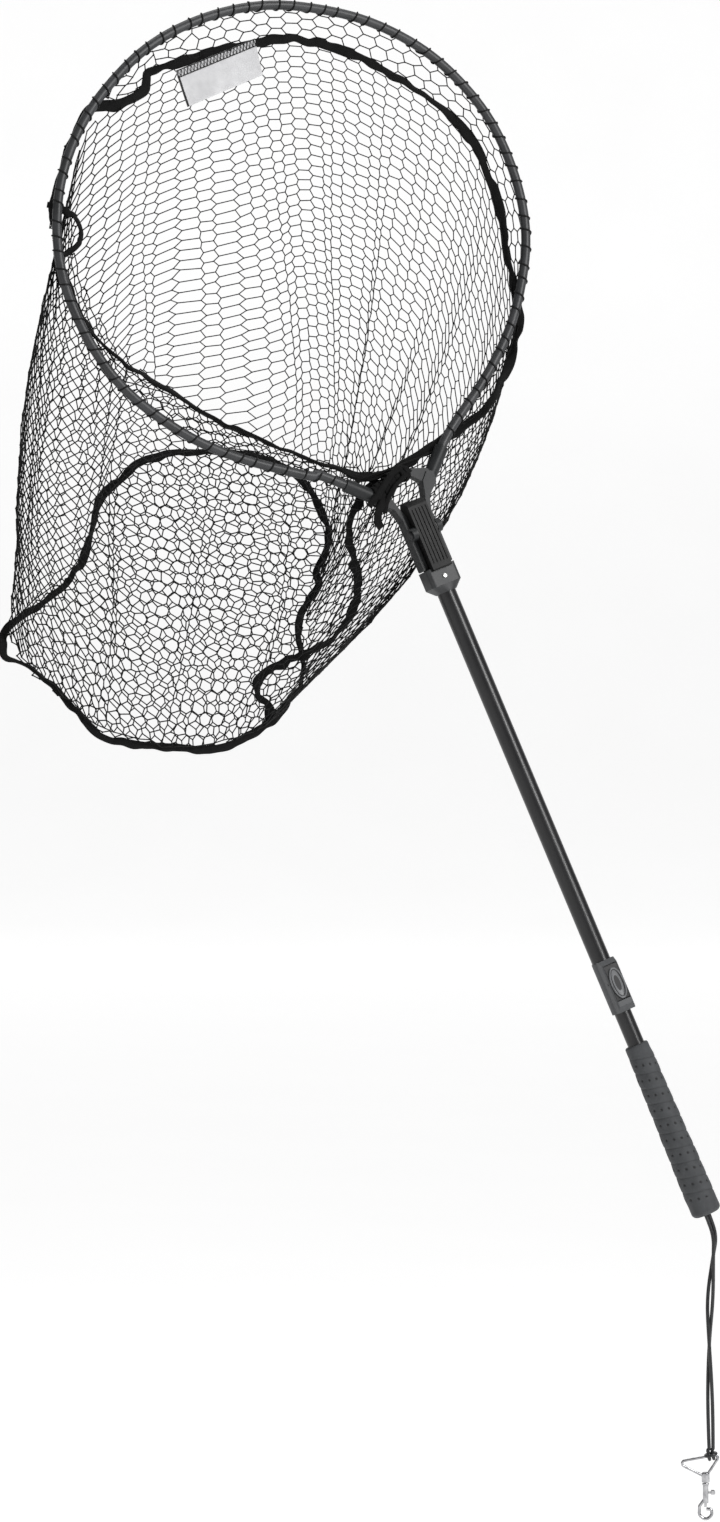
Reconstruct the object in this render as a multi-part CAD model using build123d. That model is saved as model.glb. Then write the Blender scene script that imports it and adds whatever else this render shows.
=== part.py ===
from build123d import *
import math
import os

# Landing net, folding head on a telescopic handle. Millimetres.
# Local frame: x across the hoop, y out of its back, z up the handle. The origin is in the grip.
# The net is held at a slant, so every handle and head piece is placed through HELD at export.
# The lanyard and its clip hang straight down and are written in world coordinates.

# ---- driving dimensions ----
SLANT_DEG = 22.76
TURN_DEG = 24.0

TUBE_R = 11.2
TUBE_BORE_R = 10.3
TUBE_Z = (163.2, 702.8)
INNER_R = 9.9
INNER_BORE_R = 8.9
INNER_Z = (-94.0, 660.0)

GRIP_Z = (-95.0, 112.0)
GRIP_TOP_R = 14.5
GRIP_BUTT_R = 18.0

HOUSING_Z = (153.0, 216.0)
HOUSING_R = 12.3
PAD_HALF = 10.6
PAD_FRONT = -17.6
BUTTON_PIVOT = (-14.2, 188.0)
BUTTON_HALF = 8.7

COLLAR_Z = (676.0, 706.5)
COLLAR_HALF_X = 19.5
COLLAR_HALF_Y = 13.5
BLOCK_HALF_X = 12.5
BLOCK_Z = (703.0, 788.0)
PIVOT = (-12.0, 751.0)
PIN_R = 3.0
ARM_IN = 13.5
ARM_OUT = 19.5
ARM_FOOT_Z = 707.5

HOOP_R = 5.5
HOOP_BORE_R = 4.5
HOOP_HALF = [
    (97.0, 855.5), (138.0, 880.0), (178.0, 908.0), (214.0, 940.0),
    (245.0, 978.0), (272.0, 1023.0), (287.0, 1070.0), (292.5, 1120.0), (289.0, 1171.0),
    (274.0, 1220.0), (250.0, 1265.0), (218.0, 1303.0), (181.0, 1334.0), (138.0, 1359.0),
    (94.0, 1378.0), (48.0, 1389.0),
]
HOOP_TOP_Z = 1392.5
HOOP_SEAT = 9.5
SOCKET_R = 8.0
SOCKET_IN = (33.0, 803.0)
SOCKET_OUT = (66.0, 833.0)
WRAP_COUNT = 86
WRAP_R = 0.65

# Outlines as radii every 10 degrees, clockwise from the far end of the hoop.
RIM_CENTRE = (0.0, 1095.0)
RIM_RADII = [
    256, 257, 259, 259, 257, 257, 260, 266, 268, 264, 262, 262, 269, 276, 278, 276, 268, 262,
    259, 250, 237, 230, 227, 228, 232, 239, 250, 261, 270, 278, 282, 288, 290, 278, 267, 259,
]
PANEL_CENTRE = (-260.0, 785.0)
PANEL_RADII = [
    157, 165, 171, 177, 185, 196, 206, 211, 208, 196, 175, 157, 150, 157, 164, 171, 173, 174,
    172, 172, 172, 174, 179, 185, 189, 189, 194, 211, 218, 175, 142, 131, 128, 133, 144, 151,
]
# The angle round the panel that each of the rim's 36 points hangs to: the right side gathers.
HANG_TURN = [
    52.0, 63.0, 72.0, 80.0, 87.0, 93.0, 98.0, 102.0, 105.0, 109.0, 114.0, 119.0, 125.0, 133.0,
    141.0, 150.0, 156.0, 162.0, 168.0, 174.0, 181.0, 190.0, 200.0, 210.0, 221.0, 231.0, 241.0,
    250.0, 260.0, 268.0, 275.0, 283.0, 296.0, 322.0, 352.0, 386.0,
]
SIDE_SEAM = 18
# Where the wall sags outwards: angle round the rim, spread, and how far in x and z.
POUCHES = [(128.0, 42.0, 30.2, -29.0), (292.0, 30.0, -34.0, 12.0)]
RIM_Y = 8.2
RIM_THICK = 2.0
RIM_TAPE_HALF = 6.5
BAG_DEPTH_Y = 115.0
BAG_WALL = 3.8
PANEL_TAPE_HALF = 5.0

LABEL_CORNERS = [(-58.0, 1347.0), (51.0, 1352.0), (42.0, 1309.0), (-62.0, 1303.0)]

CORD_R = 2.1
CORD_END_Z = -360.0
BAIL_R = 1.6
BAIL_CORNERS = [(2.4, -377.3), (54.4, -367.6), (36.6, -394.4)]
BAIL_BEND_R = 3.4
CLIP_X = 36.6
RIDE_EPS = 0.02


# ---- placing ----
def world_axes():
    slant = math.radians(SLANT_DEG)
    turn = math.radians(TURN_DEG)
    up = Vector(-math.sin(slant), 0, math.cos(slant))
    side = Vector(math.cos(turn) * math.cos(slant), math.sin(turn), math.cos(turn) * math.sin(slant))
    return side, up


SIDE, UP = world_axes()
HELD = Plane(origin=(0, 0, 0), x_dir=SIDE, z_dir=UP)


def world_point(x, y, z):
    return HELD.from_local_coords(Vector(x, y, z))


def save(name, shape, held=True):
    placed = HELD.location * shape if held else shape
    placed.label = name
    export_step(placed, f"parts/{name}.step")


# ---- small helpers ----
def ring(r_out, r_in, z0, z1):
    body = Cylinder(r_out, z1 - z0, align=(Align.CENTER, Align.CENTER, Align.MIN))
    bore = Cylinder(r_in, z1 - z0, align=(Align.CENTER, Align.CENTER, Align.MIN))
    return Pos(0, 0, z0) * (body - bore)


def disc(r, z0, z1):
    return Pos(0, 0, z0) * Cylinder(r, z1 - z0, align=(Align.CENTER, Align.CENTER, Align.MIN))


def block(x0, x1, y0, y1, z0, z1):
    return Pos((x0 + x1) / 2, (y0 + y1) / 2, (z0 + z1) / 2) * Box(x1 - x0, y1 - y0, z1 - z0)


def cross_pin(r, x0, x1, y, z):
    return Pos((x0 + x1) / 2, y, z) * Rot(0, 90, 0) * Cylinder(r, x1 - x0)


def front_pin(r, y0, y1, z):
    return Pos(0, (y0 + y1) / 2, z) * Rot(90, 0, 0) * Cylinder(r, y1 - y0)


def side_profile(points, x0, x1, radius):
    face = make_face(Polyline(*[(y, z) for y, z in points], close=True))
    if radius:
        face = fillet(face.vertices(), radius)
    plane = Plane(origin=(x0, 0, 0), x_dir=(0, 1, 0), z_dir=(1, 0, 0))
    return extrude(plane * face, x1 - x0)


def front_profile(points, y0, y1, radius):
    face = make_face(Polyline(*points, close=True))
    if radius:
        face = fillet(face.vertices(), radius)
    plane = Plane(origin=(0, y1, 0), x_dir=(1, 0, 0), z_dir=(0, -1, 0))
    return extrude(plane * face, y1 - y0)


def mirror_x(shape):
    return mirror(shape, about=Plane.YZ)


def radial(centre, radii, grow=0.0):
    step = 2 * math.pi / len(radii)
    return [
        (centre[0] + (r + grow) * math.sin(i * step), centre[1] + (r + grow) * math.cos(i * step))
        for i, r in enumerate(radii)
    ]


def closed_wire(points, y):
    return Wire([Edge.make_spline([Vector(x, y, z) for x, z in points], periodic=True)])


def flat_plate(points, y, thick):
    return extrude(Face(closed_wire(points, y)), amount=thick, dir=(0, 1, 0))


# ---- handle: the inner tube and what is fixed to it ----
def make_inner_tube():
    return ring(INNER_R, INNER_BORE_R, *INNER_Z)


def make_grip():
    z0, z1 = GRIP_Z
    outline = Polyline(
        (INNER_R, z0), (GRIP_BUTT_R, z0), (GRIP_BUTT_R - 0.4, z0 + 30), (15.8, z0 + 120),
        (GRIP_TOP_R, z1), (INNER_R, z1), close=True,
    )
    face = make_face(outline)
    outer = [v for v in face.vertices() if v.X > INNER_R + 1 and (v.Y < z0 + 1 or v.Y > z1 - 1)]
    face = fillet(outer, 2.6)
    return revolve(Plane.XZ * face, Axis.Z)


def make_butt_cap():
    cap = disc(13.0, -98.5, -95.0)
    cap = fillet(cap.edges().group_by(Axis.Z)[0], 1.2)
    spigot = disc(INNER_BORE_R, -93.0, -70.0) + disc(INNER_R, -95.0, -94.0) + disc(INNER_BORE_R, -94.0, -93.0)
    return cap + spigot - disc(5.0, -99.0, -69.0)


def make_guide_bush():
    return ring(INNER_R + 0.3, 6.0, 660.0, 671.0) + ring(INNER_BORE_R, 6.0, 640.0, 660.0)


# ---- lanyard ----
def strand_points(hand):
    start = [world_point(hand * 2.3, 0, -84), world_point(hand * 2.3, 0, -104)]
    across = [
        (-118.0, 47.6, 1.8, 2.2), (-141.0, 45.2, 0.0, 2.6), (-189.0, 41.6, -3.7, 0.6),
        (-234.0, 40.6, -0.6, -2.7), (-282.0, 41.2, 2.1, -2.0), (-328.0, 42.2, 2.9, -0.2),
        (CORD_END_Z, 42.8, 2.3, 0.0),
    ]
    rest = [Vector(x + hand * dx, hand * dy, z) for z, x, dx, dy in across]
    return start + rest


def bend_radii(points):
    radii = []
    for a, b, c in zip(points, points[1:], points[2:]):
        before = b - a
        after = c - b
        half_turn = math.radians(before.get_angle(after)) / 2
        radii.append(round(0.45 * min(before.length, after.length) / math.tan(half_turn), 2))
    return radii


def make_strand(hand):
    points = strand_points(hand)
    radii = bend_radii(points)
    print("lanyard strand bend radii", radii)
    route = FilletPolyline(*points, radius=radii)
    section = Plane(origin=route @ 0, z_dir=route % 0) * Circle(CORD_R)
    return sweep(section, path=route)


def bar_plane(x):
    (x0, z0), (x1, z1) = BAIL_CORNERS[:2]
    along = Vector(x1 - x0, 0, z1 - z0).normalized()
    return Plane(origin=(x, 0, z0 + (x - x0) * (z1 - z0) / (x1 - x0)), z_dir=along)


def make_hitch():
    collar = Pos(42.8, 0, CORD_END_Z - 3.0) * Box(9.4, 7.6, 6.0)
    hitch = fillet(collar.edges(), 1.8)
    for dx in (-2.6, 2.6):
        hitch += bar_plane(42.8 + dx).location * Torus(4.1, 2.1)
    hitch += bar_plane(42.8).location * Cylinder(5.6, 5.2)
    bar = bar_plane(42.8).location * Cylinder(BAIL_R + 0.3, 60.0)
    return hitch - bar - block(30, 60, -9, 9, CORD_END_Z - 0.05, CORD_END_Z + 9)


# ---- pole: outer tube, lock housing and hinge block ----
def make_outer_tube():
    tube = ring(TUBE_R, TUBE_BORE_R, *TUBE_Z)
    tube -= front_pin(1.5, -12.0, -8.0, 694.0)
    return tube - block(-3.6, 3.6, -12.5, -8.0, 196.0, 209.0)


def make_housing():
    z0, z1 = HOUSING_Z
    body = disc(HOUSING_R, z0, z1)
    body = chamfer(body.edges().group_by(Axis.Z)[-1], 1.0)
    points = [(-6.0, z0), (PAD_FRONT + 2.6, z0), (PAD_FRONT, z0 + 7), (PAD_FRONT, z1 - 9), (-12.0, z1), (-6.0, z1)]
    pad = side_profile(points, -PAD_HALF, PAD_HALF, 0)
    long_edges = pad.edges().filter_by(Axis.Z).group_by(Axis.Y)[0]
    body = body + fillet(long_edges, 2.4)
    body -= disc(TUBE_R, TUBE_Z[0], z1 + 1)
    body -= disc(INNER_R + 0.15, z0 - 1, TUBE_Z[0])
    body -= block(-9.1, 9.1, -30.0, -TUBE_R, 166.0, 210.0)
    body -= block(-3.6, 3.6, -12.5, -8.0, 196.0, 209.0)
    return body - front_lock_pin(1.25, PAD_HALF + 1)


def front_lock_pin(r, half):
    return cross_pin(r, -half, half, *BUTTON_PIVOT)


def make_lock_pin():
    return front_lock_pin(1.25, PAD_HALF - 0.6)


def make_button():
    outline = [(-13.2, 166.8), (-17.0, 166.8), (-17.4, 172.0), (-17.4, 204.0), (-16.8, 209.2), (-13.2, 209.2)]
    body = side_profile(outline, -BUTTON_HALF, BUTTON_HALF, 0.8)
    seat = Plane(origin=(0, -19.4, 186.5), x_dir=(1, 0, 0), z_dir=(0, 1, 0))
    oval = extrude(seat * Ellipse(8.5, 18.6), 3.0)
    oval = fillet(oval.edges().group_by(Axis.Y)[0], 0.5)
    oval -= loft([seat * Ellipse(7.2, 17.2), seat.offset(1.2) * Ellipse(4.6, 13.4)])
    boss = cross_pin(2.6, -BUTTON_HALF, BUTTON_HALF, *BUTTON_PIVOT)
    return body + oval + boss - front_lock_pin(1.35, 20)


def make_lock_shoe():
    return block(-2.9, 2.9, -13.2, -10.15, 198.0, 207.0)


def make_block():
    z0, z1 = BLOCK_Z
    points = [(-18.0, z0), (-18.0, z1 - 6), (-11.0, z1), (-1.0, z1), (9.0, z1 - 12), (9.0, z0)]
    body = side_profile(points, -BLOCK_HALF_X, BLOCK_HALF_X, 2.0)
    for x in (-9.0, -4.5, 0.0, 4.5, 9.0):
        body -= block(x - 0.9, x + 0.9, -19.0, -16.9, z0 + 8, z1 - 10)
    body += disc(TUBE_BORE_R, 680.0, z0 + 1)
    body -= cross_pin(PIN_R + 0.15, -30, 30, *PIVOT)
    return body - front_pin(1.5, -12.0, -5.0, 694.0)


def make_collar():
    z0, z1 = COLLAR_Z
    lower = Pos(0, 0, z0) * Circle(12.6)
    rect = RectangleRounded(2 * COLLAR_HALF_X, 2 * COLLAR_HALF_Y, 5.0)
    taper = loft([lower, Pos(0, 0, z0 + 9) * rect])
    body = taper + extrude(Pos(0, 0, z0 + 9) * rect, z1 - z0 - 9)
    body -= block(-BLOCK_HALF_X, BLOCK_HALF_X, -30, 30, BLOCK_Z[0], z1 + 1)
    body -= disc(TUBE_R, z0 - 1, z1 + 1)
    return body - front_pin(1.5, -20.0, -8.0, 694.0)


def make_rivet():
    head = front_pin(2.9, -14.6, -13.5, 694.0)
    head = fillet(head.edges().group_by(Axis.Y)[0], 0.7)
    return head + front_pin(1.5, -13.6, -5.0, 694.0)


# ---- head: yoke, hinge pin, hoop ----
def socket_place(reach):
    (x0, z0), (x1, z1) = SOCKET_IN, SOCKET_OUT
    direction = Vector(x1 - x0, 0, z1 - z0).normalized()
    return Plane(origin=Vector(x0, 0, z0) + direction * reach, z_dir=direction), math.hypot(x1 - x0, z1 - z0)


def socket_part(r, reach, length):
    plane, _ = socket_place(reach)
    return plane.location * Cylinder(r, length, align=(Align.CENTER, Align.CENTER, Align.MIN))


def make_yoke():
    arm_line = [
        (ARM_IN, ARM_FOOT_Z), (ARM_OUT, ARM_FOOT_Z), (ARM_OUT, 771), (24.5, 786), (39, 798),
        (41, 811), (33, 814), (24, 805), (18.5, 786), (ARM_IN, 772),
    ]
    bar_line = [(40, 812), (34, 817.5), (17, 823), (0, 825), (0, 818), (14, 814.5), (22, 806), (27, 800), (38, 800)]
    arm = front_profile(arm_line, -8.0, 8.0, 1.6)
    lobe = cross_pin(8.0, ARM_IN, ARM_OUT, *PIVOT)
    bar = front_profile(bar_line, -6.0, 6.0, 0)
    length = socket_place(0)[1]
    half = arm + lobe + bar + socket_part(SOCKET_R, 0, length)
    half -= socket_part(HOOP_R, HOOP_SEAT, length)
    half -= cross_pin(PIN_R, 0, 30, *PIVOT)
    return half + mirror_x(half)


def make_pin():
    shaft = cross_pin(PIN_R, -ARM_OUT, ARM_OUT, *PIVOT)
    head = cross_pin(5.0, ARM_OUT, ARM_OUT + 2.2, *PIVOT)
    head = fillet(head.edges().group_by(Axis.X)[-1], 1.4)
    return shaft + head + mirror_x(head)


def make_washers():
    washer = cross_pin(6.4, 12.62, 13.5, *PIVOT) - cross_pin(PIN_R, 12, 14, *PIVOT)
    return Compound(children=[washer, mirror_x(washer)])


def hoop_path():
    out = socket_place(0)[0].z_dir
    first = socket_place(HOOP_SEAT)[0].origin
    mouth = Vector(SOCKET_OUT[0], 0, SOCKET_OUT[1]) + out * 0.5
    flip = Vector(-mouth.X, 0, mouth.Z)
    right = [Vector(x, 0, z) for x, z in HOOP_HALF]
    left = [Vector(-x, 0, z) for x, z in reversed(HOOP_HALF)]
    points = [mouth] + right + [Vector(0, 0, HOOP_TOP_Z)] + left + [flip]
    bow = Edge.make_spline(points, tangents=[out, Vector(out.X, 0, -out.Z)])
    ends = [Edge.make_line(first, mouth), Edge.make_line(flip, Vector(-first.X, 0, first.Z))]
    return Wire([ends[0], bow, ends[1]])


def make_hoop():
    path = hoop_path()
    plane = Plane(origin=path @ 0, z_dir=path % 0)
    return sweep(plane * (Circle(HOOP_R) - Circle(HOOP_BORE_R)), path=path)


def make_wraps():
    path = hoop_path()
    turns = []
    for i in range(WRAP_COUNT):
        u = 0.026 + 0.948 * i / (WRAP_COUNT - 1)
        plane = Plane(origin=path @ u, z_dir=path % u)
        turns.append(plane.location * Torus(HOOP_R + WRAP_R + RIDE_EPS, WRAP_R))
    return Compound(children=turns)


# ---- head: netting, tapes and label ----
def hoop_outline():
    right = [(62.0, 829.4)] + HOOP_HALF
    left = [(-x, z) for x, z in reversed(right)]
    return right + [(0.0, HOOP_TOP_Z)] + left + [(-30.0, 821.0), (0.0, 821.0), (30.0, 821.0)]


def make_band():
    y = RIM_Y + 0.6
    hoop = flat_plate(hoop_outline(), y, 0.9)
    tape_out = flat_plate(radial(RIM_CENTRE, RIM_RADII, RIM_TAPE_HALF), y - 2, 5)
    pieces = [s for s in (hoop - tape_out).solids() if s.volume > 300]
    return Compound(children=pieces)


def make_rim_tape():
    outer = flat_plate(radial(RIM_CENTRE, RIM_RADII, RIM_TAPE_HALF), RIM_Y, RIM_THICK)
    inner = flat_plate(radial(RIM_CENTRE, RIM_RADII, -RIM_TAPE_HALF), RIM_Y - 1, RIM_THICK + 2)
    return outer - inner


def panel_radius(turn):
    step = 360 / len(PANEL_RADII)
    low = int(turn // step)
    share = turn / step - low
    count = len(PANEL_RADII)
    return PANEL_RADII[low % count] * (1 - share) + PANEL_RADII[(low + 1) % count] * share


def hung_point(index, t, grow):
    turn = math.radians(index * 360 / len(RIM_RADII))
    hang = math.radians(HANG_TURN[index])
    low_r = panel_radius(HANG_TURN[index]) + grow
    rim_x = RIM_CENTRE[0] + (RIM_RADII[index] + grow) * math.sin(turn)
    rim_z = RIM_CENTRE[1] + (RIM_RADII[index] + grow) * math.cos(turn)
    low_x = PANEL_CENTRE[0] + low_r * math.sin(hang)
    low_z = PANEL_CENTRE[1] + low_r * math.cos(hang)
    x = rim_x + (low_x - rim_x) * t
    z = rim_z + (low_z - rim_z) * t
    for centre, spread, dx, dz in POUCHES:
        off = (math.degrees(turn) - centre) / spread
        pouch = math.exp(-off * off) * math.sin(math.pi * t)
        x += dx * pouch
        z += dz * pouch
    return x, z


def bag_y(t):
    top = RIM_Y + RIM_THICK
    return top + (BAG_DEPTH_Y - top) * t


def bag_section(t, grow):
    return closed_wire([hung_point(i, t, grow) for i in range(len(RIM_RADII))], bag_y(t))


def make_bag():
    steps = [0.0, 0.2, 0.4, 0.6, 0.8, 1.0]
    outer = Solid.make_loft([bag_section(t, 0.0) for t in steps], ruled=True)
    inner = Solid.make_loft([bag_section(t, -BAG_WALL) for t in steps], ruled=True)
    return outer - inner


def make_panel():
    return flat_plate(radial(PANEL_CENTRE, PANEL_RADII, -PANEL_TAPE_HALF), BAG_DEPTH_Y, 1.2)


def make_panel_tape():
    outer = flat_plate(radial(PANEL_CENTRE, PANEL_RADII, PANEL_TAPE_HALF), BAG_DEPTH_Y, 2.0)
    inner = flat_plate(radial(PANEL_CENTRE, PANEL_RADII, -PANEL_TAPE_HALF), BAG_DEPTH_Y - 1, 4.0)
    return outer - inner


def make_side_tape():
    wires = []
    for t in (0.03, 0.2, 0.4, 0.6, 0.8, 0.97):
        x, z = hung_point(SIDE_SEAM, t, 0.4)
        corners = [(x - 5, z - 2.2), (x + 5, z - 2.2), (x + 5, z - 5.2), (x - 5, z - 5.2)]
        wires.append(Wire.make_polygon([Vector(a, bag_y(t), b) for a, b in corners], close=True))
    return Solid.make_loft(wires, ruled=True)


def make_label():
    face = make_face(Polyline(*LABEL_CORNERS, close=True))
    plane = Plane(origin=(0, 7.7, 0), x_dir=(1, 0, 0), z_dir=(0, -1, 0))
    return extrude(plane * fillet(face.vertices(), 1.5), 0.8)


def make_binding():
    wrap = Pos(0, 0.2, 821.5) * Box(22.0, 15.6, 13.0)
    wrap = fillet(wrap.edges(), 2.6)
    return wrap - make_yoke()


# ---- clip: bail, swivel, snap hook, gate ----
def make_bail():
    sharp = make_face(Polyline(*BAIL_CORNERS, close=True))
    outline = fillet(sharp.vertices(), BAIL_BEND_R).faces()[0].outer_wire()
    outline = Plane.XZ.location * outline
    section = Plane(origin=outline @ 0, z_dir=outline % 0) * Circle(BAIL_R)
    return sweep(section, path=outline)


def make_barrel():
    barrel = Pos(CLIP_X, 0, -394.2) * Cylinder(4.6, 11.6)
    barrel = fillet(barrel.edges().group_by(Axis.Z)[-1], 2.0)
    bore = Pos(CLIP_X, 0, -398.5) * Cylinder(1.9, 6.0)
    return barrel - bore - make_bail()


def upright(r, x, z0, z1):
    return Pos(x, 0, (z0 + z1) / 2) * Cylinder(r, z1 - z0)


def make_hook():
    x = CLIP_X
    collar = upright(4.0, x, -403.6, -400.9)
    collar = fillet(collar.edges(), 0.8)
    shank = upright(1.7, x, -402.0, -396.2) + collar + upright(3.3, x, -424.0, -403.0)
    points = [
        (x - 1.7, 0, -420.5), (x - 7.0, 0, -427.5), (x - 7.4, 0, -438.0), (x, 0, -444.4),
        (x + 7.4, 0, -438.0), (x + 6.6, 0, -431.2), (x + 0.8, 0, -430.9),
    ]
    route = FilletPolyline(*points, radius=[5.0, 6.0, 6.5, 5.0, 2.2])
    loop = sweep(Plane(origin=route @ 0, z_dir=route % 0) * Circle(1.9), path=route)
    bore = upright(1.75, x, -430.0, -404.6)
    slot = block(x, x + 6, -1.35, 1.35, -414.0, -405.2)
    return shank + loop - bore - slot


def make_gate():
    x = CLIP_X
    bolt = upright(1.6, x, -428.7, -410.6)
    stem = block(x, x + 6.4, -1.1, 1.1, -413.4, -410.8)
    thumb = Pos(x + 8.4, 0, -411.8) * Box(5.2, 3.6, 5.6)
    thumb = fillet(thumb.edges(), 1.2)
    return bolt + stem + thumb


# ---- export ----
os.makedirs("parts", exist_ok=True)

save("inner_tube", make_inner_tube())
save("grip", make_grip())
save("butt_cap", make_butt_cap())
save("guide_bush", make_guide_bush())
save("lanyard_right", make_strand(1), held=False)
save("lanyard_left", make_strand(-1), held=False)
save("lanyard_hitch", make_hitch(), held=False)

save("outer_tube", make_outer_tube())
save("lock_housing", make_housing())
save("lock_pin", make_lock_pin())
save("hinge_block", make_block())
save("hinge_collar", make_collar())
save("collar_rivet", make_rivet())
save("lock_button", make_button())
save("lock_shoe", make_lock_shoe())

save("yoke", make_yoke())
save("hinge_pin", make_pin())
save("pin_washers", make_washers())
save("hoop_tube", make_hoop())
save("hoop_wraps", make_wraps())
save("net_band", make_band())
save("rim_tape", make_rim_tape())
save("bag_wall", make_bag())
save("bottom_panel", make_panel())
save("bottom_tape", make_panel_tape())
save("side_tape", make_side_tape())
save("net_label", make_label())
save("apex_binding", make_binding())

save("bail_ring", make_bail(), held=False)
save("swivel_barrel", make_barrel(), held=False)
save("snap_hook", make_hook(), held=False)
save("hook_gate", make_gate(), held=False)
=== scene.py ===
import math

import bpy
import numpy as np
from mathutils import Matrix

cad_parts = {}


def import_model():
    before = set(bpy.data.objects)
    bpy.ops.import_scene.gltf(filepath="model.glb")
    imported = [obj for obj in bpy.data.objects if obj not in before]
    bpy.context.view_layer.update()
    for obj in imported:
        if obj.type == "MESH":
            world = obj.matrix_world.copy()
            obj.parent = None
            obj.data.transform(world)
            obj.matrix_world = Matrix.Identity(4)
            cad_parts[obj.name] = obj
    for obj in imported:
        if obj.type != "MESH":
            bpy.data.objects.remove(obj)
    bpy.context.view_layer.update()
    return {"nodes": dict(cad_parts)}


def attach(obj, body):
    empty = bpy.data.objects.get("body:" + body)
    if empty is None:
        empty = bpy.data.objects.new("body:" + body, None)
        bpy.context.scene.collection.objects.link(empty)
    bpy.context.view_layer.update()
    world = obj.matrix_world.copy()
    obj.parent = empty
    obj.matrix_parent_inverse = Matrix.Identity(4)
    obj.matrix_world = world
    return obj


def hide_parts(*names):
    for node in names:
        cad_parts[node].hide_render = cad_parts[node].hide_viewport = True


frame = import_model()

# ---- driving numbers, in millimetres along the handle's own axes unless they say otherwise ----
SLANT = math.radians(22.76)
TURN = math.radians(24.0)

GRIP_Z = (-95.0, 112.0)
GRIP_TOP_R = 14.5
GRIP_BUTT_R = 18.0
GRIP_BORE_R = 9.9
CAP_R = 13.1
CAP_TOP = -94.9
CAP_FOOT = -98.6
CORD_HOLE_R = 5.3
WRAP_PITCH = 18.4
GRIP_ROWS = 310
GRIP_SIDES = 150
DIMPLES_ROUND = 11
DIMPLE_R = 1.45
DIMPLE_DEPTH = 1.1

HOOP_R = 5.5
HOOP_TOP_Z = 1392.5
HOOP_HALF = [
    (97, 855.5), (138, 880), (178, 908), (214, 940), (245, 978), (272, 1023), (287, 1070), (292.5, 1120),
    (289, 1171), (274, 1220), (250, 1265), (218, 1303), (181, 1334), (138, 1359), (94, 1378), (48, 1389),
]
SOCKET_OUT = (66.0, 833.0)
LACING_TURNS = 86

RIM_LINE = [
    (100, 1336), (139, 1314), (172, 1286), (201, 1256), (227, 1223), (250, 1188), (264, 1148),
    (264, 1105), (261, 1063), (248, 1021), (238, 975), (227, 939), (205, 909), (177, 881),
    (140, 856), (110, 847), (81, 842), (42, 834), (-2, 829), (-35, 834), (-72, 862), (-119, 900),
    (-164, 941), (-192, 971), (-215, 1001), (-243, 1034), (-266, 1068), (-281, 1108), (-286, 1151),
    (-283, 1188), (-271, 1226), (-249, 1266), (-220, 1301), (-194, 1324), (-172, 1337),
    (-136, 1333), (-104, 1338), (-95, 1346), (-88, 1356), (-66, 1356), (-41, 1354), (8, 1351),
    (55, 1347),
]
PANEL_LINE = [
    (-306, 926), (-268, 942), (-235, 950), (-185, 942), (-138, 926), (-97, 904), (-70, 879),
    (-56, 849), (-53, 820), (-60, 787), (-86, 760), (-92, 742), (-117, 728), (-141, 700),
    (-146, 672), (-165, 641), (-182, 634), (-200, 622), (-229, 614), (-258, 609), (-292, 611),
    (-327, 626), (-377, 649), (-417, 677), (-434, 714), (-448, 756), (-470, 784), (-486, 803),
    (-476, 824), (-449, 834), (-410, 843), (-378, 854), (-341, 883),
]
SIDE_LINE = [
    (-20, 10, 826), (-48, 18, 812), (-66, 28, 792), (-72, 40, 768), (-70, 52, 742), (-75, 62, 716),
    (-94, 74, 692), (-123, 84, 677), (-161, 94, 674), (-192, 102, 673), (-214, 106, 666), (-221, 110, 650),
    (-213, 112, 634), (-218, 113, 620),
]
RIM_CENTRE = (0.0, 1095.0)
RIM_RADII = [
    256, 257, 259, 259, 257, 257, 260, 266, 268, 264, 262, 262, 269, 276, 278, 276, 268, 262,
    259, 250, 237, 230, 227, 228, 232, 239, 250, 261, 270, 278, 282, 288, 290, 278, 267, 259,
]
PANEL_CENTRE = (-260.0, 785.0)
PANEL_RADII = [
    157, 165, 171, 177, 185, 196, 206, 211, 208, 196, 175, 157, 150, 157, 164, 171, 173, 174,
    172, 172, 172, 174, 179, 185, 189, 189, 194, 211, 218, 175, 142, 131, 128, 133, 144, 151,
]
# The angle round the panel that each of the rim's 36 points hangs to.
HANG_TURN = [
    52, 63, 72, 80, 87, 93, 98, 102, 105, 109, 114, 119, 125, 133, 141, 150, 156, 162,
    168, 174, 181, 190, 200, 210, 221, 231, 241, 250, 260, 268, 275, 283, 296, 322, 352, 386,
]
# Where the wall sags outwards: angle round the rim, spread, and how far in x and z.
POUCHES = [(128.0, 42.0, 30.2, -29.0), (292.0, 30.0, -34.0, 12.0)]
RIM_DEPTH = 10.2
BAG_DEPTH = 115.0
NET_COLUMNS = 88
NET_HALF_ROW = 6.1
KNOT_SHARE = 1.6
# Each fold of the netting: place round the rim in 36ths, spread, pull, and height in millimetres.
FOLDS = [
    (34.3, 0.75, 0.80, 7.0), (35.3, 0.60, 0.62, 5.0), (1.6, 0.60, 0.40, 4.0), (3.4, 0.55, 0.40, 5.0),
    (5.1, 0.60, 0.84, 8.0), (6.5, 0.50, 0.55, 5.0), (7.9, 0.70, 0.86, 9.0), (9.4, 0.95, 0.90, 11.0),
    (11.2, 0.70, 0.45, 5.0), (13.4, 0.70, 0.35, 5.0), (15.5, 0.80, 0.40, 5.0), (17.6, 0.80, 0.60, 6.0),
    (20.4, 0.80, 0.66, 6.0), (23.1, 0.80, 0.60, 6.0), (25.8, 0.85, 0.78, 7.0), (28.6, 0.80, 0.60, 6.0),
    (31.2, 0.70, 0.55, 6.0),
]
LABEL_CORNERS = [(-58.0, 1347.0), (51.0, 1352.0), (42.0, 1309.0), (-62.0, 1303.0)]
LABEL_Y = 6.9

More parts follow.
